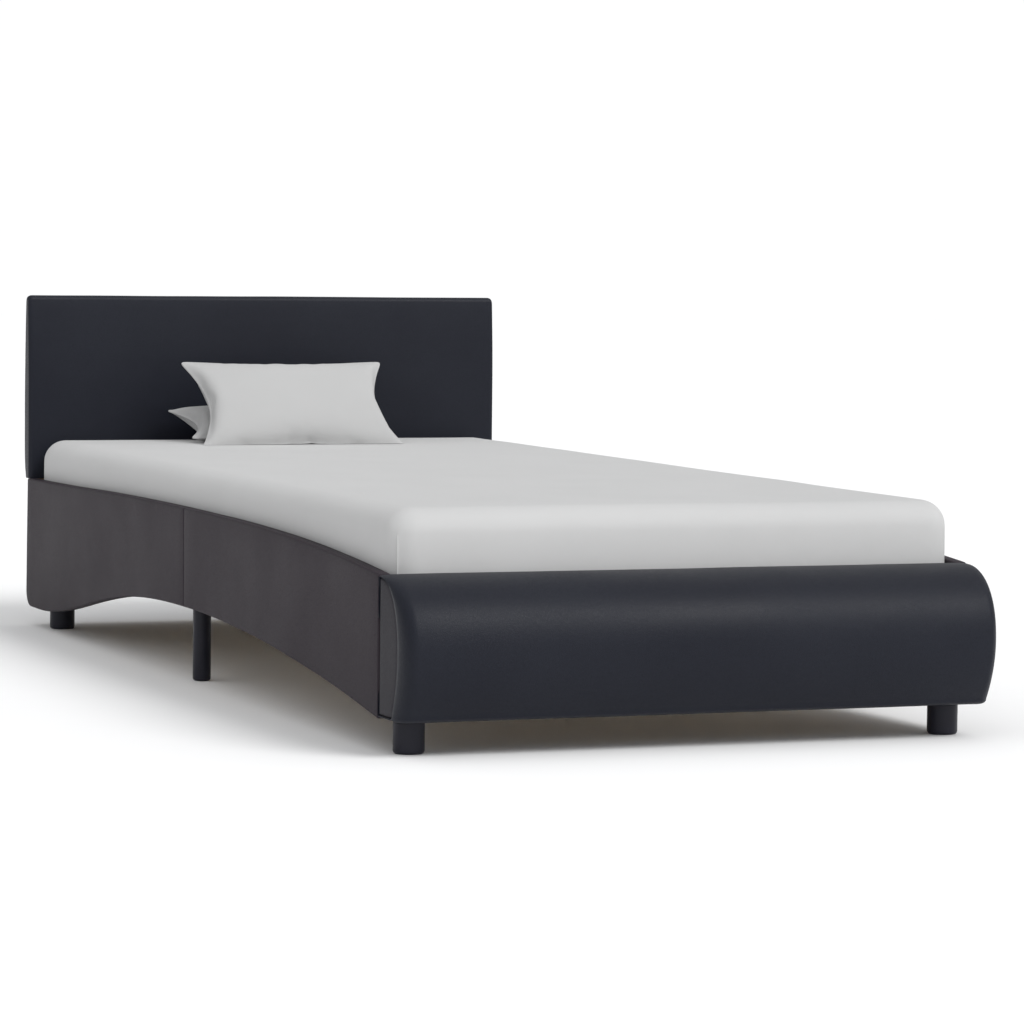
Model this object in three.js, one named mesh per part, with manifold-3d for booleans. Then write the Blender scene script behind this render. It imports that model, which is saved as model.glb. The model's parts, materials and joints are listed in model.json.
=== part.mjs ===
// A single sleigh bed: upholstered headboard, arched side rails in two halves, rolled footboard,
// slatted base, mattress with a fitted sheet, and two small pillows. Millimetres, +Z up.
// +Y runs from the foot to the head. While it is built, Y = 0 is the footboard's inner face;
// the finished group is moved so that its origin is the middle of the floor under the bed.
import * as THREE from "three";
import { mergeVertices } from "three/addons/utils/BufferGeometryUtils.js";
import Module from "manifold-3d";

const wasm = await Module();
wasm.setup();

// ---- driving dimensions -------------------------------------------------------------------

const gap = 0.3; // between pieces that touch
const past = 1; // how far a cutting shape runs past what it cuts
const coverThickness = 2; // faux leather with its thin backing

const mattressWidth = 900; // also the width between the rails
const mattressLength = 2000;
const mattressHeight = 160;
const mattressPlay = 2; // at each end of the mattress
const mattressPlanRadius = 55;
const mattressEdgeRadius = 34;
const sheetThickness = 1.2;
const sheetHem = 70; // how far the fitted sheet turns under the mattress

const slatTop = 190;
const slatThickness = 12;
const slatWidth = 70;
const slatCount = 13;
const slatEndInset = 60; // from each end of the mattress space to the first slat's middle
const slatSidePlay = 5;
const slatEdge = 2.5; // bevel along a slat
const strapWidth = 30;
const strapThickness = 1.5;
const strapSpread = 560;

const railThickness = 20;
const railCrownHeight = 288;
const railHeadHeight = 277;
const railArchClearance = 124;
const railHeadClearance = 36;
const railReach = 4.4; // how far the rails run under the headboard
const railSeamShare = 0.4854; // of the rail's length, where its two halves meet
const railCrownLead = 15; // from the seam back to the highest place
const railArchEnd = 80; // length of the straight bottom edge before the rear end
const railRearLean = 9;
const railCornerRadius = 30;
const railSeam = 1.6;
const railEndGap = 0.8;
const railHem = 26; // how far the rail covers turn over the inner face
const railSteps = 22; // along the curve of each half

const ledgeWidth = 25;
const ledgeHeight = 26;
const ledgeEndInset = 18;
const jointPlateLength = 160;
const jointPlateMargin = 42; // from the rail's upper and lower edges
const jointPlateThickness = 1.6;

const footboardDepth = 119;
const footboardTop = 257;
const footboardBottom = 51;
const footboardRoundAcross = 20; // end rounding, measured along X
const footboardRoundDeep = 38; // end rounding, measured along Y
const footboardRoundHigh = 3; // end rounding, measured along Z
const footboardToe = 8; // rounding of the lower front edge
const footboardUndercut = 0.3; // share of the depth lost towards the lower edge
const footboardFullness = 2.3; // 2 would be an ellipse
const footboardWidest = 148; // height of the widest place
const footboardRoof = 4; // least flat length at the top of the outline
const footboardRailDrop = 2; // the rails hang this much lower
const footboardFoam = 6;
const footboardSkin = 3;
const footboardPanel = 15;
const footboardBase = 15;
const footboardFormer = 15;
const footboardWindowTop = 196;
const footboardWindowBottom = 84;
const footboardWindowInset = 36;
const roundingSteps = 5;

const headboardTop = 622;
const headboardSideInset = 2; // narrower than the rails on each side
const headboardDepth = 40;
const headboardTopDepth = 18;
const headboardBottomDepth = 24;
const headboardLean = 10;
const headboardLeanStart = 430;
const headboardBelly = 390; // height of the thickest place
const headboardRound = 9;
const headboardBoard = 11;
const headboardBoardDrop = 44; // from the headboard's top to its board
const headboardBoardBottom = 62;
const headboardFoamFront = 6.5;
const headboardHem = 1.5;
const headboardLap = 20; // overlap of the board's wide and narrow parts
const backClothThickness = 1;
const backClothRise = 3; // above the board's lower edge

const cornerLegRadius = 23;
const frontLegPlace = -12;
const rearLegSetback = 91; // from the headboard's face
const middleLegRadius = 15;
const middleLegSeamOffset = 9;
const legEdgeRadius = 5;
const legStudRadius = 4;
const legStudLength = 22;
const boreClearance = 0.4;

const bracketThickness = 3;
const bracketArm = 54;
const bracketHeight = 74;
const bracketTopDrop = 4; // below the slat ledge
const boltRadius = 4;
const boltHeadRadius = 6.5;
const boltHeadHeight = 4.5;
const boltHeadBevel = 1.2;
const boltShortfall = 2; // how far a bolt stops short of its board's far face

const pillowWidth = 400;
const frontPillowDepth = 212;
const frontPillowThickness = 70;
const frontPillowTilt = 46; // degrees from lying flat
const frontPillowPlace = -187; // middle, from the headboard's face
const backPillowDepth = 176;
const backPillowThickness = 62;
const backPillowTilt = 15;
const backPillowPlace = -107;
const pillowCornerReach = 0.09; // how far the corners stand out past the middle of each side
const pillowRim = 3;

// ---- places worked out from them ----------------------------------------------------------

const railInner = mattressWidth / 2;
const bedSide = railInner + railThickness;
const sleepStart = mattressPlay;
const headFace = mattressLength + 2 * mattressPlay;
const railEnd = headFace + railReach;
const railSeamPlace = railSeamShare * railEnd;
const railCrownPlace = railSeamPlace - railCrownLead;
const railFootHeight = footboardTop;
const railFootClearance = footboardBottom - footboardRailDrop;
const mattressTop = slatTop + gap + mattressHeight;
const ledgeTop = slatTop - slatThickness - gap;
const ledgeBottom = ledgeTop - ledgeHeight;
const headboardSide = bedSide - headboardSideInset;
const headboardBottom = railHeadHeight + coverThickness;
const boardFront = headFace + coverThickness + gap + headboardFoamFront + gap;
const boardBack = boardFront + headboardBoard;
const headboardBoardTop = headboardTop - headboardBoardDrop;
const cornerLegX = railInner - gap - cornerLegRadius;
const rearLegPlace = headFace - rearLegSetback;
const middleLegX = railInner - gap - middleLegRadius;
const bracketTop = ledgeBottom - bracketTopDrop;
const bracketBottom = bracketTop - bracketHeight;
const boltX = railInner - bracketArm + 2 * boltHeadRadius;
const boltZ = (bracketTop + bracketBottom) / 2;
const boltHoleRadius = boltRadius + boreClearance;

// ---- materials ----------------------------------------------------------------------------

const finish = (color, roughness, metalness = 0) =>
  new THREE.MeshStandardMaterial({ color, roughness, metalness });

const fauxLeather = finish("#2b2c35", 0.45);
const railLeather = finish("#453f45", 0.55);
const foam = finish("#d9d2b8", 0.95);
const board = finish("#b08d62", 0.8);
const plywood = finish("#c8a878", 0.75);
const steel = finish("#8d9095", 0.4, 0.9);
const zinc = finish("#b9bcc0", 0.35, 0.9);
const legPlastic = finish("#202129", 0.5);
const slatWood = finish("#d6bd92", 0.7);
const webbing = finish("#2a2a2c", 0.9);
const backCloth = finish("#1d1d20", 0.95);
const ticking = finish("#e4e4e2", 0.9);
const sheetCotton = finish("#cfcfcf", 0.9);
const pillowCotton = finish("#c9c9c8", 0.9);

// ---- geometry tools -----------------------------------------------------------------------

const bed = new THREE.Group();

function place(name, geometry, material, parent = bed) {
  const mesh = new THREE.Mesh(geometry, material);
  mesh.name = name;
  parent.add(mesh);
  return mesh;
}

function solid(geometry) {
  const bare = new THREE.BufferGeometry();
  bare.setAttribute("position", geometry.getAttribute("position"));
  if (geometry.index) bare.setIndex(geometry.index);
  const merged = mergeVertices(bare, 1e-3);
  return new wasm.Manifold(
    new wasm.Mesh({
      numProp: 3,
      vertProperties: merged.attributes.position.array,
      triVerts: new Uint32Array(merged.index.array),
    }),
  );
}

function geometryOf(manifold) {
  const mesh = manifold.getMesh();
  const geometry = new THREE.BufferGeometry();
  geometry.setAttribute("position", new THREE.BufferAttribute(mesh.vertProperties, 3));
  geometry.setIndex(new THREE.BufferAttribute(mesh.triVerts, 1));
  return geometry;
}

function box(x0, x1, y0, y1, z0, z1) {
  const geometry = new THREE.BoxGeometry(x1 - x0, y1 - y0, z1 - z0);
  return geometry.translate((x0 + x1) / 2, (y0 + y1) / 2, (z0 + z1) / 2);
}

// A side-view outline of [y, z] points, extruded from x0 to x1.
function extrudeAcross(outline, x0, x1) {
  const shape = new THREE.Shape(outline.map(([y, z]) => new THREE.Vector2(y, z)));
  const geometry = new THREE.ExtrudeGeometry(shape, { depth: x1 - x0, bevelEnabled: false });
  const turn = new THREE.Matrix4().makeBasis(
    new THREE.Vector3(0, 1, 0),
    new THREE.Vector3(0, 0, 1),
    new THREE.Vector3(1, 0, 0),
  );
  return geometry.applyMatrix4(turn).translate(x0, 0, 0);
}

// Joins rings of [y, z] points that stand at rising x, and closes both ends.
function loftAcross(stations) {
  const flat = (ring) => ring.map(([y, z]) => new THREE.Vector2(y, z));
  const turned = THREE.ShapeUtils.isClockWise(flat(stations[0].ring));
  const rings = stations.map(({ ring }) => (turned ? [...ring].reverse() : ring));
  const count = rings[0].length;
  const positions = [];
  const index = [];
  rings.forEach((ring, s) => {
    for (const [y, z] of ring) positions.push(stations[s].x, y, z);
  });
  for (let s = 0; s + 1 < rings.length; s++) {
    for (let i = 0; i < count; i++) {
      const a = s * count + i;
      const b = s * count + ((i + 1) % count);
      index.push(a, b, a + count, b, b + count, a + count);
    }
  }
  const last = (rings.length - 1) * count;
  for (const [i, j, k] of THREE.ShapeUtils.triangulateShape(flat(rings[0]), [])) {
    index.push(i, k, j);
  }
  for (const [i, j, k] of THREE.ShapeUtils.triangulateShape(flat(rings.at(-1)), [])) {
    index.push(last + i, last + j, last + k);
  }
  const geometry = new THREE.BufferGeometry();
  geometry.setAttribute("position", new THREE.Float32BufferAttribute(positions, 3));
  geometry.setIndex(index);
  return solid(geometry);
}

// Stations over the full width whose ends are rounded; ringAt(turn) gives the outline where the
// rounding has turned by 0 (square to the side) to 1 (at the very end).
function roundedStations(half, roundAcross, ringAt, overrun = 0) {
  const right = [];
  for (let i = 0; i <= roundingSteps; i++) {
    const angle = ((i / roundingSteps) * Math.PI) / 2;
    right.push({
      x: half - roundAcross * (1 - Math.sin(angle)),
      ring: ringAt(1 - Math.cos(angle)),
    });
  }
  if (overrun) right.push({ x: half + overrun, ring: ringAt(1) });
  const left = right.map(({ x, ring }) => ({ x: -x, ring })).reverse();
  return [...left, ...right];
}

// A round cutting shape that stands on end, and one that lies along Y.
function uprightHole(radius, x, y, z0, z1) {
  const geometry = new THREE.CylinderGeometry(radius, radius, z1 - z0, 16);
  return solid(geometry.rotateX(Math.PI / 2).translate(x, y, (z0 + z1) / 2));
}

function boltHole(x, y0, y1) {
  const geometry = new THREE.CylinderGeometry(boltHoleRadius, boltHoleRadius, y1 - y0, 16);
  return solid(geometry.translate(x, (y0 + y1) / 2, boltZ));
}

// A group whose contents are mirrored when it stands on the left.
function sideGroup(side) {
  const group = new THREE.Group();
  group.scale.x = side === "left" ? -1 : 1;
  bed.add(group);
  return group;
}

// ---- side rails ---------------------------------------------------------------------------

function railTop(y) {
  if (y < railCrownPlace) {
    const s = 1 - y / railCrownPlace;
    return railCrownHeight - (railCrownHeight - railFootHeight) * s ** 2.6;
  }
  const s = (y - railCrownPlace) / (railEnd - railCrownPlace);
  const fall = 0.5 - 0.5 * Math.cos(Math.PI * Math.min(s, 1) ** 1.3);
  return railCrownHeight - (railCrownHeight - railHeadHeight) * fall;
}

function railBottom(y) {
  if (y < railCrownPlace) {
    const s = 1 - y / railCrownPlace;
    return railArchClearance - (railArchClearance - railFootClearance) * s ** 1.85;
  }
  const s = (y - railCrownPlace) / (railEnd - railArchEnd - railCrownPlace);
  const fall = 0.5 - 0.5 * Math.cos(Math.PI * Math.min(s, 1) ** 1.4);
  return railArchClearance - (railArchClearance - railHeadClearance) * fall;
}

// Outline of one rail half, drawn inside its true edge by inset, except at the seam end, where it
// runs past the end by overrun.
function railOutline(half, inset, overrun = 0) {
  const steps = railSteps;
  const isFoot = half === "foot";
  const start = isFoot ? railEndGap + inset : railSeamPlace + railSeam - overrun;
  const end = isFoot ? railSeamPlace + overrun : railEnd - inset;
  const at = (i) => start + ((end - start) * i) / steps;
  const outline = [];
  for (let i = 0; i < steps; i++) outline.push([at(i), railBottom(at(i)) + inset]);
  if (isFoot) {
    outline.push([end, railBottom(end) + inset]);
  } else {
    const low = railBottom(end) + inset;
    const radius = Math.max(railCornerRadius - inset, 4);
    const middle = end + railRearLean - radius;
    while (outline.at(-1)[0] > middle - radius / 4) outline.pop();
    for (let i = 0; i <= 5; i++) {
      const angle = ((i / 5) * Math.PI) / 2;
      outline.push([
        middle + radius * Math.sin(angle),
        low + radius * (1 - Math.cos(angle)),
      ]);
    }
  }
  for (let i = steps; i >= 0; i--) outline.push([at(i), railTop(at(i)) - inset]);
  return outline;
}

function railHalf(side, half) {
  const group = sideGroup(side);
  const skin = coverThickness;
  const inside = railInner + gap;
  const outer = solid(extrudeAcross(railOutline(half, 0), inside, bedSide));
  const hollow = solid(
    extrudeAcross(railOutline(half, skin, past), inside + skin, bedSide - skin),
  );
  const window = solid(
    extrudeAcross(railOutline(half, railHem, past), inside - past, inside + skin + past),
  );
  place(
    `${side}_rail_cover_${half}`,
    geometryOf(outer.subtract(hollow).subtract(window)),
    railLeather,
    group,
  );
  place(
    `${side}_rail_board_${half}`,
    extrudeAcross(railOutline(half, skin + gap), inside + skin + gap, bedSide - skin - gap),
    board,
    group,
  );
}

function railFittings(side) {
  const group = sideGroup(side);
  place(
    `${side}_slat_ledge`,
    box(
      railInner - gap - ledgeWidth,
      railInner - gap,
      ledgeEndInset,
      headFace - ledgeEndInset,
      ledgeBottom,
      ledgeTop,
    ),
    slatWood,
    group,
  );
  const plateInner = railInner + gap + coverThickness - jointPlateThickness;
  const platePlace = railSeamPlace + railSeam / 2;
  place(
    `${side}_rail_joint_plate`,
    box(
      plateInner,
      plateInner + jointPlateThickness,
      platePlace - jointPlateLength / 2,
      platePlace + jointPlateLength / 2,
      railArchClearance + jointPlateMargin,
      railCrownHeight - jointPlateMargin,
    ),
    steel,
    group,
  );
}

// ---- footboard ----------------------------------------------------------------------------

// The rolled outline: fuller than an ellipse above its widest height, a flatter curve below it.
// Turn draws it smaller, as at the rounded ends, and back is where its inner face stands.
function footboardRing(inset, turn = 0, back = inset) {
  const top = footboardTop - inset - footboardRoundHigh * turn;
  const bottom = footboardBottom + inset + footboardRoundHigh * turn;
  const depth = footboardDepth - inset - footboardRoundDeep * turn;
  const toe = Math.max(footboardToe - inset, 1);
  const toeDepth = depth * (1 - footboardUndercut);
  const bevel = toe * (1 - Math.SQRT1_2);
  const ring = [[-back, bottom]];
  ring.push([-(toeDepth - toe), bottom]);
  ring.push([-(toeDepth - bevel), bottom + bevel]);
  const belowToe = 1 - toe / (footboardWidest - bottom);
  const lowerSteps = 6;
  for (let i = 0; i < lowerSteps; i++) {
    const t = belowToe * (1 - i / lowerSteps);
    ring.push([-depth * (1 - footboardUndercut * t * t), footboardWidest - (footboardWidest - bottom) * t]);
  }
  const upperSteps = 11;
  const shortest = back + footboardRoof;
  for (let i = 0; i <= upperSteps; i++) {
    const t = Math.sin(((i / upperSteps) * Math.PI) / 2);
    const reach = depth * (1 - t ** footboardFullness) ** (1 / footboardFullness);
    ring.push([-Math.max(reach, shortest), footboardWidest + (top - footboardWidest) * t]);
  }
  ring.push([-back, top]);
  return ring;
}

function footboard() {
  const skin = coverThickness;
  const inSkin = skin + gap;
  const inFoam = inSkin + footboardFoam + gap;
  const inBent = inFoam + footboardSkin + gap;
  const innerX = bedSide - footboardRoundAcross - gap;
  const panelFront = inSkin + footboardPanel;
  const roomTop = footboardTop - inBent;
  const roomBottom = footboardBottom + inBent;
  const cutBottom = roomBottom - gap;
  const baseTop = roomBottom + footboardBase;
  const studHoles = [-1, 1].map((sign) =>
    uprightHole(
      legStudRadius + boreClearance,
      sign * cornerLegX,
      frontLegPlace,
      footboardBottom - past,
      baseTop + past,
    ),
  );
  const drilled = (piece) => studHoles.reduce((rest, hole) => rest.subtract(hole), piece);
  const ring = (outerInset, innerInset) =>
    solid(extrudeAcross(footboardRing(outerInset), -innerX, innerX)).subtract(
      solid(extrudeAcross(footboardRing(innerInset), -innerX - past, innerX + past)),
    );

  const rounded = (inset, overrun) =>
    loftAcross(
      roundedStations(
        bedSide,
        footboardRoundAcross,
        (turn) => footboardRing(inset, turn),
        overrun,
      ),
    );
  const windowX = bedSide - footboardWindowInset;
  const window = solid(
    box(-windowX, windowX, -skin - past, past, footboardWindowBottom, footboardWindowTop),
  );
  place(
    "footboard_cover",
    geometryOf(drilled(rounded(0, 0).subtract(rounded(skin, past)).subtract(window))),
    fauxLeather,
  );
  place(
    "footboard_foam",
    geometryOf(
      drilled(
        ring(inSkin, inSkin + footboardFoam).subtract(
          solid(box(-bedSide, bedSide, -panelFront - gap, past, cutBottom, roomTop)),
        ),
      ),
    ),
    foam,
  );
  place(
    "footboard_bent_skin",
    geometryOf(
      drilled(
        ring(inFoam, inFoam + footboardSkin).subtract(
          solid(box(-bedSide, bedSide, -panelFront - gap, past, cutBottom, footboardTop)),
        ),
      ),
    ),
    plywood,
  );

  const roomRing = footboardRing(inBent, 0, inSkin);
  const room = (x0, x1) => solid(extrudeAcross(roomRing, x0, x1));
  place(
    "footboard_base",
    geometryOf(
      drilled(
        room(-innerX, innerX).intersect(
          solid(box(-bedSide, bedSide, -footboardDepth, 0, 0, baseTop)),
        ),
      ),
    ),
    board,
  );
  const boltHoles = [-1, 1].map((sign) => boltHole(sign * boltX, -panelFront - past, past));
  place(
    "footboard_inner_panel",
    geometryOf(
      boltHoles.reduce(
        (rest, hole) => rest.subtract(hole),
        solid(box(-innerX, innerX, -panelFront, -inSkin, baseTop + gap, roomTop - gap)),
      ),
    ),
    board,
  );
  const ribRoom = solid(
    box(-bedSide, bedSide, -footboardDepth, -panelFront - gap, baseTop + gap, footboardTop),
  );
  place(
    "footboard_middle_rib",
    geometryOf(room(-footboardFormer / 2, footboardFormer / 2).intersect(ribRoom)),
    board,
  );
  for (const side of ["left", "right"]) {
    const group = sideGroup(side);
    place(
      `footboard_former_${side}`,
      extrudeAcross(footboardRing(inSkin, 1), innerX + gap, innerX + gap + footboardFormer),
      board,
      group,
    );
    place(
      `footboard_end_cap_${side}`,
      extrudeAcross(footboardRing(inSkin, 1), bedSide - skin, bedSide),
      fauxLeather,
      group,
    );
  }
}

// ---- headboard ----------------------------------------------------------------------------

// How far the headboard's front and back faces stand from headFace at a height.
function headboardFront(z) {
  const t = Math.max(0, (z - headboardLeanStart) / (headboardTop - headboardLeanStart));
  return headboardLean * t * t;
}

function headboardBack(z) {
  if (z > headboardBelly) {
    const t = (z - headboardBelly) / (headboardTop - headboardBelly);
    return headboardDepth - (headboardDepth - headboardTopDepth - headboardLean) * t * t;
  }
  const t = (headboardBelly - z) / (headboardBelly - headboardBottom);
  return headboardDepth - (headboardDepth - headboardBottomDepth) * Math.min(t, 1) ** 5;
}

// Its side-view outline, drawn inside the true one by inset, and open-ended downwards to bottom.
function headboardRing(inset, bottom) {
  const roof = headboardTopDepth / 2;
  const shoulder = headboardTop - roof;
  const heights = (count, power) =>
    Array.from(
      { length: count + 1 },
      (_, i) => headboardBottom + (shoulder - headboardBottom) * (i / count) ** power,
    );
  const lowered = (z) => (z === headboardBottom ? bottom : z);
  const ring = heights(7, 1).map((z) => [headFace + headboardFront(z) + inset, lowered(z)]);
  const middle = headFace + (headboardFront(shoulder) + headboardBack(shoulder)) / 2;
  const reach = (headboardBack(shoulder) - headboardFront(shoulder)) / 2 - inset;
  for (let i = 1; i < 6; i++) {
    const angle = (i / 6) * Math.PI;
    ring.push([middle - reach * Math.cos(angle), shoulder + (roof - inset) * Math.sin(angle)]);
  }
  for (const z of heights(10, 1.25).reverse()) {
    ring.push([headFace + headboardBack(z) - inset, lowered(z)]);
  }
  return ring;
}

function headboard() {
  const skin = coverThickness;
  const inSkin = skin + gap;
  const side = headboardSide;
  const cut = (inset, overrun) =>
    loftAcross(
      roundedStations(
        side - inset,
        headboardRound - inset,
        (turn) => headboardRing(inset + (headboardRound - inset) * turn * 0.6, overrun),
      ),
    );
  const outer = cut(0, headboardBottom);
  const hollow = cut(skin, headboardBottom - past);
  place("headboard_cover", geometryOf(outer.subtract(hollow)), fauxLeather);

  const filling = cut(inSkin, headboardBottom + headboardHem);
  const frontRoom = solid(
    box(-bedSide, bedSide, headFace - past, boardFront - gap, 0, headboardTop),
  );
  place("headboard_front_foam", geometryOf(filling.intersect(frontRoom)), foam);
  const boardRoom = solid(
    box(-bedSide, bedSide, headFace - past, boardBack + gap, 0, headboardBoardTop + gap),
  );
  const upperFront = solid(
    box(-bedSide, bedSide, headFace - past, boardFront, headboardBoardTop, headboardTop),
  );
  place(
    "headboard_back_foam",
    geometryOf(filling.subtract(boardRoom).subtract(upperFront)),
    foam,
  );

  const upperX = side - headboardRound;
  const lowerX = railInner - 2 * gap;
  const upper = solid(
    box(-upperX, upperX, boardFront, boardBack, headboardBottom + headboardHem, headboardBoardTop),
  );
  const lower = solid(
    box(
      -lowerX,
      lowerX,
      boardFront,
      boardBack,
      headboardBoardBottom,
      headboardBottom + headboardLap,
    ),
  );
  const boltHoles = [-1, 1].map((sign) =>
    boltHole(sign * boltX, boardFront - past, boardBack + past),
  );
  place(
    "headboard_board",
    geometryOf(boltHoles.reduce((rest, hole) => rest.subtract(hole), upper.add(lower))),
    board,
  );
  place(
    "headboard_back_cloth",
    box(
      -lowerX,
      lowerX,
      boardBack + gap,
      boardBack + gap + backClothThickness,
      headboardBoardBottom + backClothRise,
      headboardBottom - gap,
    ),
    backCloth,
  );
}

// ---- legs ---------------------------------------------------------------------------------

// A round leg with a softened lower edge; stud is the length of the screw standing on its top.
function leg(name, radius, x, y, height, stud = 0) {
  const profile = [new THREE.Vector2(0, 0)];
  for (let i = 0; i <= 4; i++) {
    const angle = ((i / 4) * Math.PI) / 2;
    profile.push(
      new THREE.Vector2(
        radius - legEdgeRadius + legEdgeRadius * Math.sin(angle),
        legEdgeRadius * (1 - Math.cos(angle)),
      ),
    );
  }
  profile.push(new THREE.Vector2(radius, height));
  if (stud) {
    profile.push(new THREE.Vector2(legStudRadius, height));
    profile.push(new THREE.Vector2(legStudRadius, height + stud));
    profile.push(new THREE.Vector2(0, height + stud));
  } else {
    profile.push(new THREE.Vector2(0, height));
  }
  const mesh = place(name, new THREE.LatheGeometry(profile, 24), legPlastic);
  mesh.rotation.x = Math.PI / 2;
  mesh.position.set(x, y, 0);
}

function legs() {
  const underLedge = ledgeBottom - gap;
  const middlePlace = railSeamPlace + middleLegSeamOffset;
  for (const [name, sign] of [
    ["left", -1],
    ["right", 1],
  ]) {
    leg(
      `front_leg_${name}`,
      cornerLegRadius,
      sign * cornerLegX,
      frontLegPlace,
      footboardBottom - gap,
      legStudLength,
    );
    leg(`middle_leg_${name}`, middleLegRadius, sign * middleLegX, middlePlace, underLedge);
    leg(`rear_leg_${name}`, cornerLegRadius, sign * cornerLegX, rearLegPlace, underLedge);
  }
}

// ---- corner brackets and bolts ------------------------------------------------------------

function corner(side, end) {
  const sign = side === "left" ? -1 : 1;
  const outX = railInner - gap;
  const face = end === "foot" ? gap : boardFront - gap;
  const inward = end === "foot" ? 1 : -1;
  const span = (a, b) => [Math.min(a, b), Math.max(a, b)];
  const [armY0, armY1] = span(face, face + inward * bracketArm);
  const [plateY0, plateY1] = span(face, face + inward * bracketThickness);
  const [x0, x1] = span(sign * (outX - bracketThickness), sign * outX);
  const [plateX0, plateX1] = span(sign * (outX - bracketArm), sign * outX);
  const hole = boltHole(sign * boltX, plateY0 - past, plateY1 + past);
  place(
    `${end}_bracket_${side}`,
    geometryOf(
      solid(box(x0, x1, armY0, armY1, bracketBottom, bracketTop))
        .add(solid(box(plateX0, plateX1, plateY0, plateY1, bracketBottom, bracketTop)))
        .subtract(hole),
    ),
    steel,
  );
  const boardDepth = end === "foot" ? coverThickness + footboardPanel : headboardBoard;
  const reach = boardDepth - boltShortfall;
  const headStart = bracketThickness + gap;
  const headTop = headStart + boltHeadHeight;
  const profile = [
    [0, -reach],
    [boltRadius, -reach],
    [boltRadius, headStart],
    [boltHeadRadius, headStart],
    [boltHeadRadius, headTop - boltHeadBevel],
    [boltHeadRadius - boltHeadBevel, headTop],
    [0, headTop],
  ].map(([r, h]) => new THREE.Vector2(r, h));
  const bolt = place(`${end}_bolt_${side}`, new THREE.LatheGeometry(profile, 20), zinc);
  bolt.rotation.x = end === "foot" ? 0 : Math.PI;
  bolt.position.set(sign * boltX, face, boltZ);
}

// ---- slats --------------------------------------------------------------------------------

function slats() {
  const half = railInner - slatSidePlay;
  const first = sleepStart + slatEndInset;
  const pitch = (mattressLength - 2 * slatEndInset) / (slatCount - 1);
  const low = slatTop - slatThickness;
  for (let i = 0; i < slatCount; i++) {
    const middle = first + i * pitch;
    const y0 = middle - slatWidth / 2;
    const y1 = middle + slatWidth / 2;
    const outline = [
      [y0 + slatEdge, low],
      [y1 - slatEdge, low],
      [y1, low + slatEdge],
      [y1, slatTop - slatEdge],
      [y1 - slatEdge, slatTop],
      [y0 + slatEdge, slatTop],
      [y0, slatTop - slatEdge],
      [y0, low + slatEdge],
    ];
    const number = String(i + 1).padStart(2, "0");
    place(`slat_${number}`, extrudeAcross(outline, -half, half), slatWood);
  }
  for (const [name, sign] of [
    ["left", -1],
    ["right", 1],
  ]) {
    const x = (sign * strapSpread) / 2;
    place(
      `slat_strap_${name}`,
      box(
        x - strapWidth / 2,
        x + strapWidth / 2,
        first - slatWidth / 2,
        first + (slatCount - 1) * pitch + slatWidth / 2,
        low - gap - strapThickness,
        low - gap,
      ),
      webbing,
    );
  }
}

// ---- mattress and pillows -----------------------------------------------------------------

// A block with rounded corners in plan and rounded upper and lower edges.
function softBlock(half, y0, y1, z0, z1, planRadius, edgeRadius) {
  const radius = planRadius - edgeRadius;
  const x = half - edgeRadius;
  const low = y0 + edgeRadius;
  const high = y1 - edgeRadius;
  const shape = new THREE.Shape();
  shape.moveTo(-x + radius, low);
  shape.lineTo(x - radius, low);
  shape.absarc(x - radius, low + radius, radius, -Math.PI / 2, 0);
  shape.lineTo(x, high - radius);
  shape.absarc(x - radius, high - radius, radius, 0, Math.PI / 2);
  shape.lineTo(-x + radius, high);
  shape.absarc(-x + radius, high - radius, radius, Math.PI / 2, Math.PI);
  shape.lineTo(-x, low + radius);
  shape.absarc(-x + radius, low + radius, radius, Math.PI, 1.5 * Math.PI);
  const geometry = new THREE.ExtrudeGeometry(shape, {
    depth: z1 - z0 - 2 * edgeRadius,
    bevelThickness: edgeRadius,
    bevelSize: edgeRadius,
    bevelSegments: 3,
    curveSegments: 4,
  });
  return geometry.translate(0, 0, z0 + edgeRadius);
}

function mattress() {
  const half = mattressWidth / 2 - 2 * gap;
  const start = sleepStart;
  const end = start + mattressLength;
  const low = slatTop + gap;
  const block = (inset) =>
    softBlock(
      half - inset,
      start + inset,
      end - inset,
      low + inset,
      mattressTop - inset,
      mattressPlanRadius - inset,
      mattressEdgeRadius - inset,
    );
  const hemOpening = solid(
    box(
      -half + sheetHem,
      half - sheetHem,
      start + sheetHem,
      end - sheetHem,
      low - past,
      low + sheetThickness + past,
    ),
  );
  place("mattress", block(sheetThickness + gap), ticking);
  place(
    "fitted_sheet",
    geometryOf(solid(block(0)).subtract(solid(block(sheetThickness))).subtract(hemOpening)),
    sheetCotton,
  );
}

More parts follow.
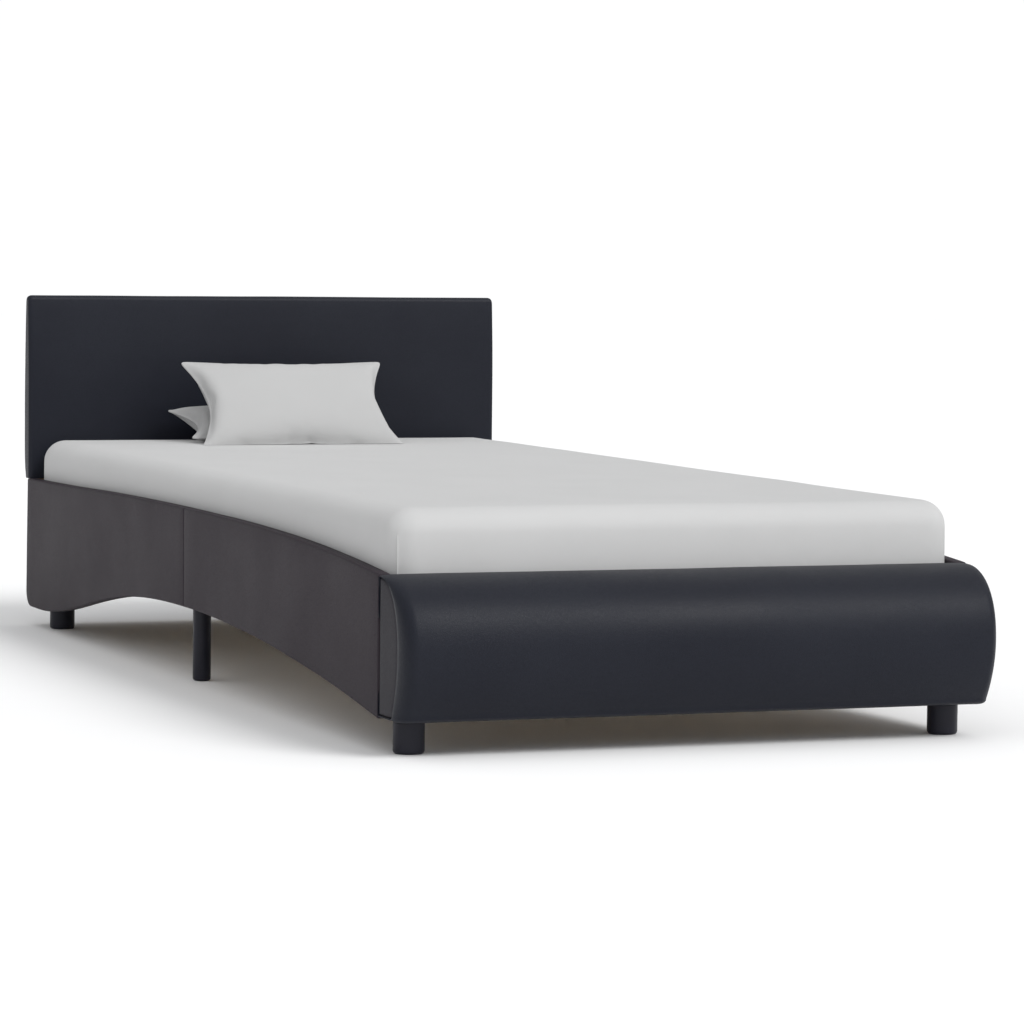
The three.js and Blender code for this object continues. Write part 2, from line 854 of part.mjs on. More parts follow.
// A stuffed pillow: full in the middle, thin at its rim, with corners that stand out.
function pillowGeometry(width, depth, thickness) {
  const across = 14;
  const along = 8;
  const positions = [];
  const index = [];
  const corner = (s, t) => 1 - pillowCornerReach * (1 - Math.abs(s) ** 2.2) * Math.abs(t) ** 2;
  const number = new Map();
  const vertex = (i, j, face) => {
    const onRim = i === 0 || j === 0 || i === across || j === along;
    const key = `${i},${j},${face}`;
    if (number.has(key)) return number.get(key);
    const s = (2 * i) / across - 1;
    const t = (2 * j) / along - 1;
    const crown = (1 - Math.abs(s) ** 2.6) ** 0.6 * (1 - Math.abs(t) ** 2.4) ** 0.6;
    const height = pillowRim / 2 + (thickness / 2 - pillowRim / 2) * (onRim ? 0 : crown);
    positions.push(
      (s * width * corner(t, s)) / 2,
      (t * depth * corner(s, t)) / 2,
      face * height,
    );
    number.set(key, positions.length / 3 - 1);
    return number.get(key);
  };
  const quad = (a, b, c, d) => index.push(a, b, c, a, c, d);
  for (let i = 0; i < across; i++) {
    for (let j = 0; j < along; j++) {
      quad(vertex(i, j, 1), vertex(i + 1, j, 1), vertex(i + 1, j + 1, 1), vertex(i, j + 1, 1));
      quad(vertex(i, j, -1), vertex(i, j + 1, -1), vertex(i + 1, j + 1, -1), vertex(i + 1, j, -1));
    }
  }
  for (let i = 0; i < across; i++) {
    quad(vertex(i, 0, -1), vertex(i + 1, 0, -1), vertex(i + 1, 0, 1), vertex(i, 0, 1));
    quad(vertex(i + 1, along, -1), vertex(i, along, -1), vertex(i, along, 1), vertex(i + 1, along, 1));
  }
  for (let j = 0; j < along; j++) {
    quad(vertex(0, j + 1, -1), vertex(0, j, -1), vertex(0, j, 1), vertex(0, j + 1, 1));
    quad(vertex(across, j, -1), vertex(across, j + 1, -1), vertex(across, j + 1, 1), vertex(across, j, 1));
  }
  const geometry = new THREE.BufferGeometry();
  geometry.setAttribute("position", new THREE.Float32BufferAttribute(positions, 3));
  geometry.setIndex(index);
  return geometry;
}

// Tilts a pillow about X and lowers it until it rests just above the mattress.
function pillow(name, depth, thickness, tilt, fromHeadboard) {
  const mesh = place(name, pillowGeometry(pillowWidth, depth, thickness), pillowCotton);
  mesh.rotation.x = THREE.MathUtils.degToRad(tilt);
  mesh.position.set(0, headFace + fromHeadboard, 0);
  mesh.updateMatrixWorld();
  const lowest = new THREE.Box3().setFromObject(mesh, true).min.z;
  mesh.position.z = mattressTop + gap - lowest;
}

// ---- the whole bed ------------------------------------------------------------------------

for (const side of ["left", "right"]) {
  for (const half of ["foot", "head"]) railHalf(side, half);
  railFittings(side);
  for (const end of ["foot", "head"]) corner(side, end);
}
footboard();
headboard();
legs();
slats();
mattress();
pillow("back_pillow", backPillowDepth, backPillowThickness, backPillowTilt, backPillowPlace);
pillow("front_pillow", frontPillowDepth, frontPillowThickness, frontPillowTilt, frontPillowPlace);

// The origin goes to the middle of the bed's length and width, on the floor.
bed.position.y = -(headFace + headboardDepth - footboardDepth) / 2;

export default bed;
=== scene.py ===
import json
import math

import bpy
from mathutils import Matrix, Vector


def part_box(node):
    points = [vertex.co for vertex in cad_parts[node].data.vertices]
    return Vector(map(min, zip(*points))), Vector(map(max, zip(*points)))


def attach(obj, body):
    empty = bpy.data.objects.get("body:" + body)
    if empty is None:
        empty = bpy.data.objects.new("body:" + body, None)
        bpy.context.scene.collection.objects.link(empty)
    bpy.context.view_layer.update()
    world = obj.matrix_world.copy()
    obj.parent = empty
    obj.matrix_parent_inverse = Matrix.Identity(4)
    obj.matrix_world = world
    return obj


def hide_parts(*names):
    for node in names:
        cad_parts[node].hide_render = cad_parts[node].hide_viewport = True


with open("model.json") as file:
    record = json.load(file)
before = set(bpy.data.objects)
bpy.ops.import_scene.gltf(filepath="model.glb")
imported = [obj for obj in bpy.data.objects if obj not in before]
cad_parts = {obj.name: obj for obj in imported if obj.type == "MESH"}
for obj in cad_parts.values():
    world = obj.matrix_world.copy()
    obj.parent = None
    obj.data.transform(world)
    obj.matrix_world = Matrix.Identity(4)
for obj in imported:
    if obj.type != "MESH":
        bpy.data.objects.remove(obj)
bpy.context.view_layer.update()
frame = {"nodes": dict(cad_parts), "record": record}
nodes = frame["nodes"]
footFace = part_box("footboard_cover")[1].y  # the footboard's inner face
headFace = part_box("headboard_cover")[0].y  # the headboard's front, low down
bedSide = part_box("footboard_cover")[1].x
railInner = -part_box("left_rail_cover_foot")[1].x
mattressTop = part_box("fitted_sheet")[1].z
hair = 0.0001  # metres, near enough to count as the same place
print("frame loaded")


def mm(*values):
    return Vector([v / 1000 for v in values])


def clearSelection():
    if bpy.context.object and bpy.context.object.mode != "OBJECT":
        bpy.ops.object.mode_set(mode="OBJECT")
    bpy.ops.object.select_all(action="DESELECT")


def pickUp(piece):
    clearSelection()
    piece.select_set(True)
    bpy.context.view_layer.objects.active = piece


def openEdit(piece, mode="VERT", everything=False):
    pickUp(piece)
    bpy.ops.object.mode_set(mode="EDIT")
    bpy.ops.mesh.select_mode(type=mode)
    bpy.ops.mesh.select_all(action="SELECT" if everything else "DESELECT")


def closeEdit():
    bpy.ops.object.mode_set(mode="OBJECT")


# the select functions leave the piece in edit mode
def selectVerts(piece, test):
    openEdit(piece)
    closeEdit()
    for v in piece.data.vertices:
        v.select = bool(test(v.co))
    chosen = [v.select for v in piece.data.vertices]
    for e in piece.data.edges:
        e.select = all(chosen[i] for i in e.vertices)
    for f in piece.data.polygons:
        f.select = all(chosen[i] for i in f.vertices)
    bpy.ops.object.mode_set(mode="EDIT")


def selectFaces(piece, test):
    openEdit(piece, "FACE")
    closeEdit()
    for f in piece.data.polygons:
        f.select = bool(test(f))
    bpy.ops.object.mode_set(mode="EDIT")


def selectEdges(piece, test):
    openEdit(piece, "EDGE")
    closeEdit()
    co = [v.co.copy() for v in piece.data.vertices]
    for e in piece.data.edges:
        e.select = bool(test(co[e.vertices[0]], co[e.vertices[1]]))
    bpy.ops.object.mode_set(mode="EDIT")


# a line of edges, one vertex pulled on from point to point
def drawLine(name, points):
    clearSelection()
    bpy.ops.mesh.primitive_plane_add(size=0.01)
    piece = bpy.context.object
    piece.name = piece.data.name = name
    bpy.ops.object.mode_set(mode="EDIT")
    bpy.ops.mesh.select_mode(type="VERT")
    bpy.ops.mesh.select_all(action="SELECT")
    bpy.ops.mesh.merge(type="CENTER")
    bpy.ops.transform.translate(value=points[0])
    for start, end in zip(points, points[1:]):
        pull(end - start)
    return piece


def drawFace(name, points):
    piece = drawLine(name, points)
    bpy.ops.mesh.select_all(action="SELECT")
    bpy.ops.mesh.edge_face_add()
    return piece


def pull(step):
    bpy.ops.mesh.extrude_region_move(TRANSFORM_OT_translate={"value": step})


# new faces grown out along the normals, by millimetres
def raiseFaces(height):
    bpy.ops.mesh.extrude_region_shrink_fatten(TRANSFORM_OT_shrink_fatten={"value": height / 1000})


def scaleAbout(value, centre):
    bpy.ops.transform.resize(value=value, center_override=centre)


def outward(piece):
    openEdit(piece, everything=True)
    bpy.ops.mesh.remove_doubles(threshold=0.00002)
    bpy.ops.mesh.normals_make_consistent(inside=False)
    closeEdit()


def modify(piece, kind, **settings):
    pickUp(piece)
    bpy.ops.object.modifier_add(type=kind)
    modifier = piece.modifiers[-1]
    for key, value in settings.items():
        setattr(modifier, key, value)
    bpy.ops.object.modifier_apply(modifier=modifier.name)


def smooth(piece, angle=35):
    pickUp(piece)
    bpy.ops.object.shade_smooth_by_angle(angle=math.radians(angle))


# new edges all round at each place along one axis
def cutAcross(piece, axis, places):
    openEdit(piece)
    for place in places:
        at, normal = Vector((0, 0, 0)), Vector((0, 0, 0))
        at[axis], normal[axis] = place, 1
        bpy.ops.mesh.select_all(action="SELECT")
        bpy.ops.mesh.bisect(plane_co=at, plane_no=normal)
    closeEdit()


# places between two ends, the ends left out
def spaced(low, high, step):
    count = max(1, round((high - low) / step))
    return [low + (high - low) * i / count for i in range(1, count)]


# sine and cosine round a quarter turn
def quarter(steps):
    turns = [math.pi / 2 * i / steps for i in range(steps + 1)]
    return [(math.sin(a), math.cos(a)) for a in turns]


# the gentle unevenness of stuffing under a cover, in millimetres
def padding(piece, height, size, name):
    cloud = bpy.data.textures.new(name, "CLOUDS")
    cloud.noise_scale = size / 1000
    cloud.noise_depth = 1
    modify(piece, "DISPLACE", texture=cloud, strength=height / 1000, mid_level=0.5, texture_coords="LOCAL")


# the finished thickness of a cover, in millimetres, grown inwards
def thicken(piece, thickness):
    modify(piece, "SOLIDIFY", thickness=thickness / 1000, offset=-1)


def mirrored(piece, name):
    pickUp(piece)
    bpy.ops.object.duplicate()
    twin = bpy.context.object
    twin.name = twin.data.name = name
    bpy.ops.object.mode_set(mode="EDIT")
    bpy.ops.mesh.select_all(action="SELECT")
    bpy.ops.transform.mirror(constraint_axis=(True, False, False), center_override=(0, 0, 0))
    bpy.ops.mesh.flip_normals()
    closeEdit()
    return twin


# inputs are given by name, or by number as n0, n1 and so on
def addNode(tree, kind, settings=None, **inputs):
    made = tree.nodes.new(kind)
    for key, value in (settings or {}).items():
        setattr(made, key, value)
    for key, value in inputs.items():
        byNumber = key[0] == "n" and key[1:].isdigit()
        socket = made.inputs[int(key[1:]) if byNumber else key.replace("_", " ")]
        if isinstance(value, bpy.types.NodeSocket):
            tree.links.new(value, socket)
        else:
            socket.default_value = value
    return made


def newGroup(name, inputs, outputs):
    tree = bpy.data.node_groups.new(name, "ShaderNodeTree")
    for label, kind, value in inputs:
        socket = tree.interface.new_socket(label, in_out="INPUT", socket_type="NodeSocket" + kind)
        if value is not None:
            socket.default_value = value
    for label, kind in outputs:
        tree.interface.new_socket(label, in_out="OUTPUT", socket_type="NodeSocket" + kind)
    given = tree.nodes.new("NodeGroupInput").outputs
    return tree, given, tree.nodes.new("NodeGroupOutput").inputs


def combine(tree, operation, a, b=0.0):
    return addNode(tree, "ShaderNodeMath", {"operation": operation}, n0=a, n1=b).outputs[0]


def combineVectors(tree, operation, *inputs):
    return addNode(tree, "ShaderNodeVectorMath", {"operation": operation},
                   **{f"n{i}": value for i, value in enumerate(inputs)}).outputs[0]


def noise(tree, where, scale, detail, **others):
    return addNode(tree, "ShaderNodeTexNoise", Vector=where, Scale=scale, Detail=detail, **others).outputs


# a value between two limits, spread over 0 to 1
def mask(tree, value, low, high, shape="LINEAR"):
    return addNode(tree, "ShaderNodeMapRange", {"interpolation_type": shape},
                   n0=value, n1=low, n2=high, n3=0.0, n4=1.0).outputs[0]


# a 0 to 1 value, spread over low to high
def spread(tree, value, low, high):
    return addNode(tree, "ShaderNodeMapRange", n0=value, n1=0.0, n2=1.0, n3=low, n4=high).outputs[0]


def mixColors(tree, share, first, second, blend="MIX"):
    return addNode(tree, "ShaderNodeMix", {"data_type": "RGBA", "blend_type": blend},
                   n0=share, n6=first, n7=second).outputs[2]


# pebbles that drift, with creases between them, on longer folds
grain = {
    "driftScale": 90.0, "driftDetail": 2.0, "drift": 0.0012, "pebbleEdge": 0.28,
    "foldScale": 38.0, "foldDetail": 4.0, "foldRoughness": 0.6,
}


def makeGrainGroup():
    tree, given, put = newGroup(
        "pebbleGrain",
        [("Vector", "Vector", None), ("Pebbles per metre", "Float", 620.0), ("Crease", "Float", 0.35)],
        [("Height", "Float"), ("Valleys", "Float")],
    )
    bent = noise(tree, given[0], grain["driftScale"], grain["driftDetail"])["Color"]
    shifted = combineVectors(tree, "MULTIPLY_ADD", bent, (grain["drift"],) * 3, given[0])
    cells = addNode(tree, "ShaderNodeTexVoronoi", {"feature": "DISTANCE_TO_EDGE"},
                    Vector=shifted, Scale=given[1])
    pebble = mask(tree, cells.outputs[0], 0.0, grain["pebbleEdge"], "SMOOTHSTEP")
    fold = noise(tree, given[0], grain["foldScale"], grain["foldDetail"], Roughness=grain["foldRoughness"])[0]
    tree.links.new(combine(tree, "ADD", pebble, combine(tree, "MULTIPLY", fold, given[2])), put[0])
    tree.links.new(combine(tree, "SUBTRACT", 1.0, pebble), put[1])
    return tree


# threads that wander a little, so that no rings show from far off
weaving = {
    "wanderThreads": 1.6, "wanderShare": 0.12, "wanderDetail": 1.0,
    "slubScale": 160.0, "blotchScale": 9.0, "detail": 3.0,
}


def makeWeaveGroup():
    tree, given, put = newGroup(
        "plainWeave",
        [("Vector", "Vector", None), ("Threads per metre", "Float", 1400.0), ("Slub", "Float", 0.4)],
        [("Height", "Float"), ("Tone", "Float")],
    )
    wanderScale = combine(tree, "MULTIPLY", given[1], weaving["wanderShare"])
    wander = noise(tree, given[0], wanderScale, weaving["wanderDetail"])["Color"]
    reach = combine(tree, "DIVIDE", weaving["wanderThreads"], given[1])
    drift = addNode(tree, "ShaderNodeVectorMath", {"operation": "SCALE"}, n0=wander, Scale=reach).outputs[0]
    parts = addNode(tree, "ShaderNodeSeparateXYZ", n0=combineVectors(tree, "ADD", given[0], drift))
    turns = combine(tree, "MULTIPLY", given[1], math.pi)
    x, y, z = (combine(tree, "MULTIPLY", parts.outputs[i], turns) for i in range(3))
    warp = combine(tree, "SINE", combine(tree, "ADD", x, z))
    weft = combine(tree, "SINE", combine(tree, "ADD", y, z))
    crossing = combine(tree, "MULTIPLY", warp, weft)
    slub = noise(tree, given[0], weaving["slubScale"], weaving["detail"])[0]
    tree.links.new(combine(tree, "ADD", crossing, combine(tree, "MULTIPLY", slub, given[2])), put[0])
    tree.links.new(noise(tree, given[0], weaving["blotchScale"], weaving["detail"])[0], put[1])
    return tree


patches = {"detail": 4.0, "roughness": 0.55, "newBelow": 0.35, "wornAbove": 0.68}


def makeToneGroup():
    tree, given, put = newGroup(
        "unevenTone",
        [("Vector", "Vector", None), ("Color", "Color", (0.5, 0.5, 0.5, 1)),
         ("Worn color", "Color", (0.6, 0.6, 0.6, 1)), ("Patch size", "Float", 7.0), ("Amount", "Float", 0.5)],
        [("Color", "Color"), ("Mask", "Float")],
    )
    patch = noise(tree, given[0], given[3], patches["detail"], Roughness=patches["roughness"])[0]
    worn = mask(tree, patch, patches["newBelow"], patches["wornAbove"])
    tree.links.new(mixColors(tree, combine(tree, "MULTIPLY", worn, given[4]), given[1], given[2]), put[0])
    tree.links.new(worn, put[1])
    return tree


timber = {
    "figureDetail": 5.0, "figureRoughness": 0.6, "figureBend": 0.6, "figureShare": 0.75,
    "poreScale": 9.0, "poreDetail": 2.0, "poreShare": 0.25, "paleBelow": 0.38, "darkAbove": 0.62,
}


def makeTimberGroup():
    tree, given, put = newGroup(
        "timberFigure",
        [("Vector", "Vector", None), ("Pale", "Color", (0.6, 0.45, 0.27, 1)),
         ("Dark", "Color", (0.4, 0.27, 0.14, 1)), ("Stretch", "Vector", (3.0, 60.0, 60.0))],
        [("Color", "Color"), ("Height", "Float")],
    )
    longWay = combineVectors(tree, "MULTIPLY", given[0], given[3])
    figure = noise(tree, longWay, 1.0, timber["figureDetail"], Roughness=timber["figureRoughness"],
                   Distortion=timber["figureBend"])[0]
    pores = noise(tree, longWay, timber["poreScale"], timber["poreDetail"])[0]
    both = combine(tree, "ADD", combine(tree, "MULTIPLY", figure, timber["figureShare"]),
                   combine(tree, "MULTIPLY", pores, timber["poreShare"]))
    dark = mask(tree, both, timber["paleBelow"], timber["darkAbove"])
    tree.links.new(mixColors(tree, dark, given[1], given[2]), put[0])
    tree.links.new(pores, put[1])
    return tree


def makeChipGroup():
    tree, given, put = newGroup(
        "pressedChips",
        [("Vector", "Vector", None), ("Chips per metre", "Float", 240.0)],
        [("Tone", "Float"), ("Height", "Float")],
    )
    chips = addNode(tree, "ShaderNodeTexVoronoi", {"feature": "F1"}, Vector=given[0], Scale=given[1])
    tree.links.new(addNode(tree, "ShaderNodeSeparateColor", n0=chips.outputs["Color"]).outputs[0], put[0])
    tree.links.new(chips.outputs["Distance"], put[1])
    return tree


grainGroup = makeGrainGroup()
weaveGroup = makeWeaveGroup()
toneGroup = makeToneGroup()
timberGroup = makeTimberGroup()
chipGroup = makeChipGroup()


def newMaterial(name, roughness, **shaderValues):
    made = bpy.data.materials.new(name)
    made.use_nodes = True
    tree = made.node_tree
    shader = tree.nodes["Principled BSDF"]
    shader.inputs["Roughness"].default_value = roughness
    for key, value in shaderValues.items():
        shader.inputs[key.replace("_", " ")].default_value = value
    where = tree.nodes.new("ShaderNodeTexCoord").outputs["Object"]
    return made, tree, shader, where


def useGroup(tree, group, where, **inputs):
    made = tree.nodes.new("ShaderNodeGroup")
    made.node_tree = group
    tree.links.new(where, made.inputs[0])
    for key, value in inputs.items():
        made.inputs[key.replace("_", " ")].default_value = value
    return made.outputs


def useTone(tree, where, color, worn, patchSize, amount):
    return useGroup(tree, toneGroup, where, Color=(*color, 1), Worn_color=(*worn, 1),
                    Patch_size=patchSize, Amount=amount)


def addBump(tree, shader, height, distance, strength):
    bump = addNode(tree, "ShaderNodeBump", Height=height, Distance=distance, Strength=strength)
    tree.links.new(bump.outputs[0], shader.inputs["Normal"])


def varyRoughness(tree, shader, value, roughness, less, more):
    tree.links.new(spread(tree, value, roughness - less, roughness + more), shader.inputs["Roughness"])


leather = {
    "pebbles": 620.0, "crease": 0.4, "patchSize": 5.0, "patchAmount": 0.6,
    "creaseShadeShare": 0.45, "creaseShadeColor": (0.35, 0.35, 0.38), "creaseRoughness": 0.12,
    "smoother": 0.04, "rougher": 0.05, "bump": 0.00012, "bumpStrength": 0.8,
}


def leatherMaterial(name, color, worn, roughness, specular):
    made, tree, shader, where = newMaterial(name, roughness, Specular_IOR_Level=specular)
    tone = useTone(tree, where, color, worn, leather["patchSize"], leather["patchAmount"])
    height, valleys = useGroup(tree, grainGroup, where, Pebbles_per_metre=leather["pebbles"],
                               Crease=leather["crease"])
    # painted shade: the base colour is darkened in the grain's valleys between the pebbles
    creaseShaded = mixColors(tree, spread(tree, valleys, 0.0, leather["creaseShadeShare"]), tone[0],
                        (*leather["creaseShadeColor"], 1), "MULTIPLY")
    tree.links.new(creaseShaded, shader.inputs["Base Color"])
    patchy = spread(tree, tone[1], roughness - leather["smoother"], roughness + leather["rougher"])
    rough = combine(tree, "ADD", patchy, spread(tree, valleys, 0.0, leather["creaseRoughness"]))
    tree.links.new(rough, shader.inputs["Roughness"])
    addBump(tree, shader, height, leather["bump"], leather["bumpStrength"])
    return made


cloth = {
    "slub": 0.5, "patchSize": 6.0, "patchAmount": 0.5, "sheenRoughness": 0.5, "specular": 0.2,
    "gapShadeShare": 0.12, "gapShadeColor": (0.6, 0.6, 0.6), "roughnessDrift": 0.06, "bumpStrength": 0.7,
}


def clothMaterial(name, color, worn, threads, roughness=0.9, sheen=0.25, depth=0.00015):
    made, tree, shader, where = newMaterial(
        name, roughness, Sheen_Weight=sheen, Sheen_Roughness=cloth["sheenRoughness"],
        Specular_IOR_Level=cloth["specular"])
    tone = useTone(tree, where, color, worn, cloth["patchSize"], cloth["patchAmount"])
    height, blotch = useGroup(tree, weaveGroup, where, Threads_per_metre=threads, Slub=cloth["slub"])
    # painted shade: the base colour is darkened in the low places between the threads
    gapShade = spread(tree, height, cloth["gapShadeShare"], 0.0)
    tree.links.new(mixColors(tree, gapShade, tone[0], (*cloth["gapShadeColor"], 1), "MULTIPLY"),
                   shader.inputs["Base Color"])
    drift = cloth["roughnessDrift"]
    rough = spread(tree, blotch, roughness - drift, min(1.0, roughness + drift))
    tree.links.new(rough, shader.inputs["Roughness"])
    addBump(tree, shader, height, depth, cloth["bumpStrength"])
    return made


def timberMaterial(name, pale, dark, stretch, roughness=0.6):
    made, tree, shader, where = newMaterial(name, roughness)
    color, pores = useGroup(tree, timberGroup, where, Pale=(*pale, 1), Dark=(*dark, 1), Stretch=stretch)
    tree.links.new(color, shader.inputs["Base Color"])
    varyRoughness(tree, shader, pores, roughness, less=0.1, more=0.12)
    addBump(tree, shader, pores, distance=0.0002, strength=0.5)
    return made


def chipMaterial(name, pale, dark, chips=240.0, roughness=0.8):
    made, tree, shader, where = newMaterial(name, roughness)
    tone, height = useGroup(tree, chipGroup, where, Chips_per_metre=chips)
    tree.links.new(mixColors(tree, tone, (*pale, 1), (*dark, 1)), shader.inputs["Base Color"])
    varyRoughness(tree, shader, tone, roughness, less=0.1, more=0.1)
    addBump(tree, shader, height, distance=0.0002, strength=0.6)
    return made


def metalMaterial(name, color, roughness):
    made, tree, shader, where = newMaterial(name, roughness, Metallic=1.0)
    tone = useTone(tree, where, color, [c * 0.75 for c in color], patchSize=40.0, amount=0.7)
    tree.links.new(tone[0], shader.inputs["Base Color"])
    varyRoughness(tree, shader, tone[1], roughness, less=0.08, more=0.14)
    scratches = noise(tree, where, scale=900.0, detail=2.0)[0]
    addBump(tree, shader, scratches, distance=0.00003, strength=0.4)
    return made


def plasticMaterial(name, color, roughness=0.42):
    made, tree, shader, where = newMaterial(name, roughness, Specular_IOR_Level=0.25)
    tone = useTone(tree, where, color, [c * 1.5 + 0.004 for c in color], patchSize=30.0, amount=0.4)
    tree.links.new(tone[0], shader.inputs["Base Color"])
    varyRoughness(tree, shader, tone[1], roughness, less=0.06, more=0.1)
    pits = noise(tree, where, scale=1400.0, detail=2.0)[0]
    addBump(tree, shader, pits, distance=0.00004, strength=0.5)
    return made


# one finish for each material slot of the record, and two more for the ledges and the end caps; the end caps'
# one is a lighter copy of the faux leather, painted light
finish = {
    "faux_leather": leatherMaterial(
        "fauxLeather", (0.0100, 0.0115, 0.0190), (0.0145, 0.0165, 0.0250), roughness=0.34, specular=0.17),
    # painted light: the rails are the same faux leather, given a lighter base that stands in for the light on
    # their sides
    "rail_leather": leatherMaterial(
        "railLeatherPaintedLight", (0.0295, 0.0220, 0.0290), (0.0365, 0.0285, 0.0360), roughness=0.5, specular=0.16),
    # painted light: the end caps are the same faux leather, given a lighter base that stands in for the light
    # on them
    "cap_leather_painted_light": leatherMaterial(
        "capLeatherPaintedLight", (0.0285, 0.0265, 0.0330), (0.0355, 0.0335, 0.0400), roughness=0.5, specular=0.18),
    "foam": chipMaterial("openFoam", (0.68, 0.62, 0.45), (0.60, 0.54, 0.38), chips=900.0, roughness=0.95),
    "board": chipMaterial("chipboard", (0.50, 0.36, 0.20), (0.30, 0.20, 0.10)),
    "plywood": timberMaterial("plywoodFace", (0.58, 0.42, 0.24), (0.42, 0.28, 0.15), (3.0, 40.0, 40.0)),
    "back_cloth": clothMaterial(
        "backCloth", (0.010, 0.010, 0.011), (0.018, 0.018, 0.019), 900.0, 0.95, sheen=0.05, depth=0.0002),
    "slat_wood": timberMaterial("slatWood", (0.70, 0.54, 0.34), (0.52, 0.36, 0.19), (3.0, 70.0, 70.0)),
    "ledge_wood": timberMaterial("ledgeWood", (0.66, 0.50, 0.30), (0.48, 0.33, 0.17), (70.0, 3.0, 70.0)),
    "webbing": clothMaterial(
        "webbing", (0.016, 0.016, 0.018), (0.03, 0.03, 0.032), 700.0, 0.85, sheen=0.1, depth=0.0004),
    "steel_plate": metalMaterial("steelPlate", (0.36, 0.37, 0.38), 0.38),
    "zinc_bolt": metalMaterial("zincBolt", (0.60, 0.61, 0.62), 0.3),
    "leg_plastic": plasticMaterial("legPlastic", (0.010, 0.010, 0.017)),
    "mattress_ticking": clothMaterial(
        "mattressTicking", (0.78, 0.78, 0.77), (0.70, 0.70, 0.69), 900.0, sheen=0.2, depth=0.0004),
    "sheet_cotton": clothMaterial("sheetCotton", (0.545, 0.545, 0.543), (0.515, 0.515, 0.513), 1500.0),
    "pillow_cotton": clothMaterial("pillowCotton", (0.475, 0.475, 0.473), (0.445, 0.445, 0.443), 1500.0),
}


def wear(piece, key):
    piece.data.materials.clear()
    piece.data.materials.append(finish[key])


def settle(piece, body, slotName, look=None):
    wear(piece, look or slotName)
    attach(piece, body)


for entry in frame["record"]["subparts"]:
    ledge = entry["node"].endswith("slat_ledge")  # its grain runs along the bed
    wear(nodes[entry["node"]], "ledge_wood" if ledge else entry["material_slot"])
print("materials made")


# millimetres; heights above the floor, places from the footboard's inner face
rail = {
    "crownHeight": 288, "footHeight": 257, "headHeight": 277,
    "footClearance": 49, "archClearance": 124, "headClearance": 36,
    "seamPlace": 975.43, "seam": 0.5, "crownLead": 15.55, "end": 2008.4, "straightEnd": 80, "endGap": 0.8,
    "footTopFall": 2.6, "headTopFall": 1.3, "footArchFall": 1.85, "headArchFall": 1.4,  # curve powers
    "rearLean": 9, "cornerRadius": 30, "cornerSteps": 8, "steps": 44,
    "edge": 3.2, "hemInset": 1, "hemShare": (0.95, 0.8),
    "cover": 1.4, "grid": 38, "softness": 1.2, "lumps": 200,
}
crownPlace = rail["seamPlace"] - rail["crownLead"]


# from crown to low, flat at the crown on both sides of it
def railCurve(y, crown, footLow, headLow, footPower, headPower, end):
    if y < crownPlace:
        return crown - (crown - footLow) * (1 - y / crownPlace) ** footPower
    s = min(1, (y - crownPlace) / (end - crownPlace))
    return crown - (crown - headLow) * (0.5 - 0.5 * math.cos(math.pi * s ** headPower))


def railTop(y):
    return railCurve(y, rail["crownHeight"], rail["footHeight"], rail["headHeight"],
                     rail["footTopFall"], rail["headTopFall"], rail["end"])


def railBottom(y):
    return railCurve(y, rail["archClearance"], rail["footClearance"], rail["headClearance"],
                     rail["footArchFall"], rail["headArchFall"], rail["end"] - rail["straightEnd"])


def railOutline(half):
    steps = rail["steps"]
    if half == "Foot":
        start, end = rail["endGap"], rail["seamPlace"]
    else:
        start, end = rail["seamPlace"] + rail["seam"], rail["end"]
    along = [start + (end - start) * i / steps for i in range(steps + 1)]
    low = [(y, railBottom(y)) for y in along]
    if half == "Head":
        radius = rail["cornerRadius"]
        middle = end + rail["rearLean"] - radius
        low = [p for p in low if p[0] < middle - radius / 4]
        for s, c in quarter(rail["cornerSteps"]):
            low.append((middle + radius * s, railBottom(end) + radius * (1 - c)))
    return low + [(y, railTop(y)) for y in reversed(along)]


def makeRailCover(half):
    outline = railOutline(half)
    lowest, highest = ([pick(p[i] for p in outline) for i in range(2)] for pick in (min, max))
    points = [Vector((-bedSide, footFace + y / 1000, z / 1000)) for y, z in outline]
    piece = drawFace("leftRailCover" + half, points)
    pull(Vector((bedSide - railInner, 0, 0)))
    closeEdit()
    outward(piece)
    modify(piece, "BEVEL", width=rail["edge"] / 1000, segments=4, limit_method="ANGLE",
           angle_limit=math.radians(45), loop_slide=True)
    # the one large face on the inner side goes, apart from a hem round it
    selectFaces(piece, lambda f: f.area > 0.05 and f.normal.x > 0.9)
    bpy.ops.mesh.inset(thickness=rail["hemInset"] / 1000, depth=0)
    middle = (0, footFace + (lowest[0] + highest[0]) / 2000, (lowest[1] + highest[1]) / 2000)
    scaleAbout((1, *rail["hemShare"]), middle)
    bpy.ops.mesh.delete(type="FACE")
    closeEdit()
    cutAcross(piece, 1, [footFace + y / 1000 for y in spaced(lowest[0], highest[0], rail["grid"])])
    heights = spaced(rail["footClearance"], rail["crownHeight"], rail["grid"])
    cutAcross(piece, 2, [z / 1000 for z in heights])
    padding(piece, rail["softness"], rail["lumps"], "railPadding" + half)
    thicken(piece, rail["cover"])
    smooth(piece, 40)
    return piece


for half in ("Foot", "Head"):
    left = makeRailCover(half)
    right = mirrored(left, "rightRailCover" + half)
    for piece, side in ((left, "left"), (right, "right")):
        # the rail leather is the faux leather made lighter, painted light
        settle(piece, "frame", "rail_leather")
        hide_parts(f"{side}_rail_cover_{half.lower()}")
print("rails covered")


